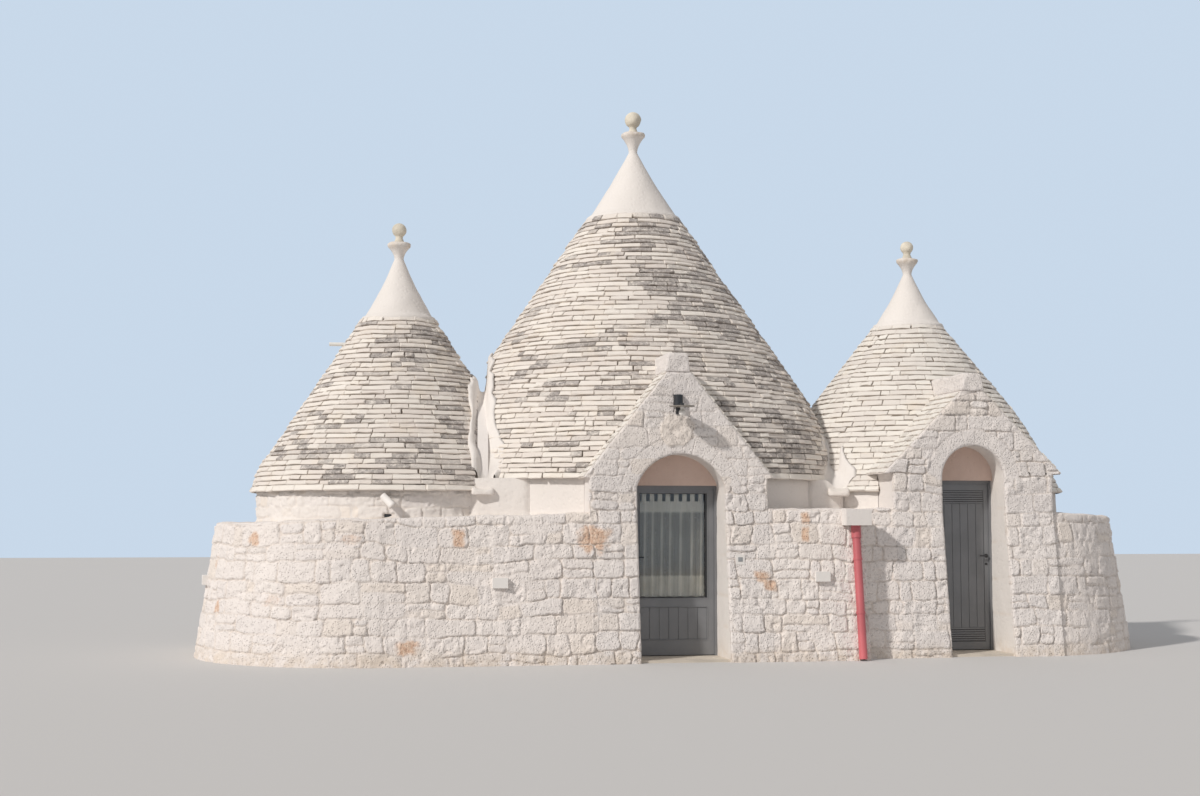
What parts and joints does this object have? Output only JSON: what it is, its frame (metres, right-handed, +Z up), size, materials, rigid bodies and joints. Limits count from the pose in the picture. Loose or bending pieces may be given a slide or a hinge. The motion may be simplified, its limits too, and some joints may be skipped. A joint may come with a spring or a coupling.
{
  "type": "trullo house",
  "caption": "Whitewashed trullo house with a tall dry-stone cone, lower cones on both sides, gabled portals, a glazed door and a boarded door that open.",
  "frame": {"origin": "on the floor's underside at ground level, on the axis of the main cone, which stands on the building's middle room", "axes": "+Z up, +X to the right along the entrance front, +Y into the house"},
  "size_m": [12.28, 6.272, 7.355],
  "materials": {
    "limewashed_rubble": "rough limewash with ochre patches",
    "lime_plaster": "smooth limewashed plaster",
    "roof_stone": "dry limestone slabs with grey lichen",
    "pale_stone": "weathered limestone",
    "floor_stone": "worn limestone slabs",
    "grey_door_paint": "satin grey paint",
    "window_glass": "clear",
    "lace": "sheer white lace",
    "steel": "dull",
    "black_metal": "satin black",
    "white_plastic": "gloss",
    "grey_plastic": "matt",
    "faded_red_pipe": "faded red paint",
    "white_pipe": "weathered"
  },
  "bodies": {
    "house": {"left_end_wall_front": "limewashed_rubble", "left_end_wall_back": "limewashed_rubble", "front_wall_left": "limewashed_rubble", "room_arch": "limewashed_rubble", "back_wall_left": "limewashed_rubble", "main_back_wall_left": "limewashed_rubble", "main_back_wall_right": "limewashed_rubble", "back_wall_right": "limewashed_rubble", "room_wall_right": "limewashed_rubble", "front_wall_right": "limewashed_rubble", "stepped_back_wall": "limewashed_rubble", "right_end_wall_front": "limewashed_rubble", "right_end_wall_back": "limewashed_rubble", "main_left_pier": "lime_plaster", "main_right_pier": "lime_plaster", "right_left_pier": "lime_plaster", "right_right_pier": "lime_plaster", "main_gable": "lime_plaster", "right_gable": "lime_plaster", "portal_capstones": "lime_plaster", "door_lunettes": "lime_plaster", "main_drum_left": "lime_plaster", "main_drum_right": "lime_plaster", "left_drum_front": "lime_plaster", "left_drum_back": "lime_plaster", "right_drum": "lime_plaster", "main_cone_left": "roof_stone", "main_cone_right": "roof_stone", "main_cone_top": "roof_stone", "left_cone": "roof_stone", "right_cone": "roof_stone", "left_valley": "lime_plaster", "right_valley": "lime_plaster", "roof_caps": "lime_plaster", "finials": "pale_stone", "floor": "floor_stone", "thresholds": "floor_stone", "main_door_frame": "grey_door_paint", "right_door_frame": "grey_door_paint", "door_hinge_pins": "steel", "downpipe": "faded_red_pipe", "pipe_brackets": "faded_red_pipe", "hopper": "lime_plaster", "hopper_neck": "lime_plaster", "wall_lights": "grey_plastic", "spotlight": "black_metal", "door_bell": "white_plastic", "entrance_lamp": "black_metal", "lamp_shade": "black_metal", "lamp_bulb": "white_plastic", "roof_vent": "white_pipe"},
    "main_door": {"main_door_leaf": "grey_door_paint", "main_door_glass": "window_glass", "curtain_rod": "steel", "main_door_curtain": "lace", "main_door_handle": "black_metal", "main_hinge_knuckles": "steel"},
    "right_door": {"right_door_leaf": "grey_door_paint", "right_door_handle": "black_metal", "right_hinge_knuckles": "steel"}
  },
  "joints": [
    {"name": "main_door_hinge", "type": "hinge", "parent": "house", "child": "main_door", "pos_m": [0.5595, -2.291, 0], "axis": [0, 0, -1], "range_deg": [0, 90]},
    {"name": "right_door_hinge", "type": "hinge", "parent": "house", "child": "right_door", "pos_m": [3.4605, -2.041, 0], "axis": [0, 0, 1], "range_deg": [0, 90]}
  ]
}
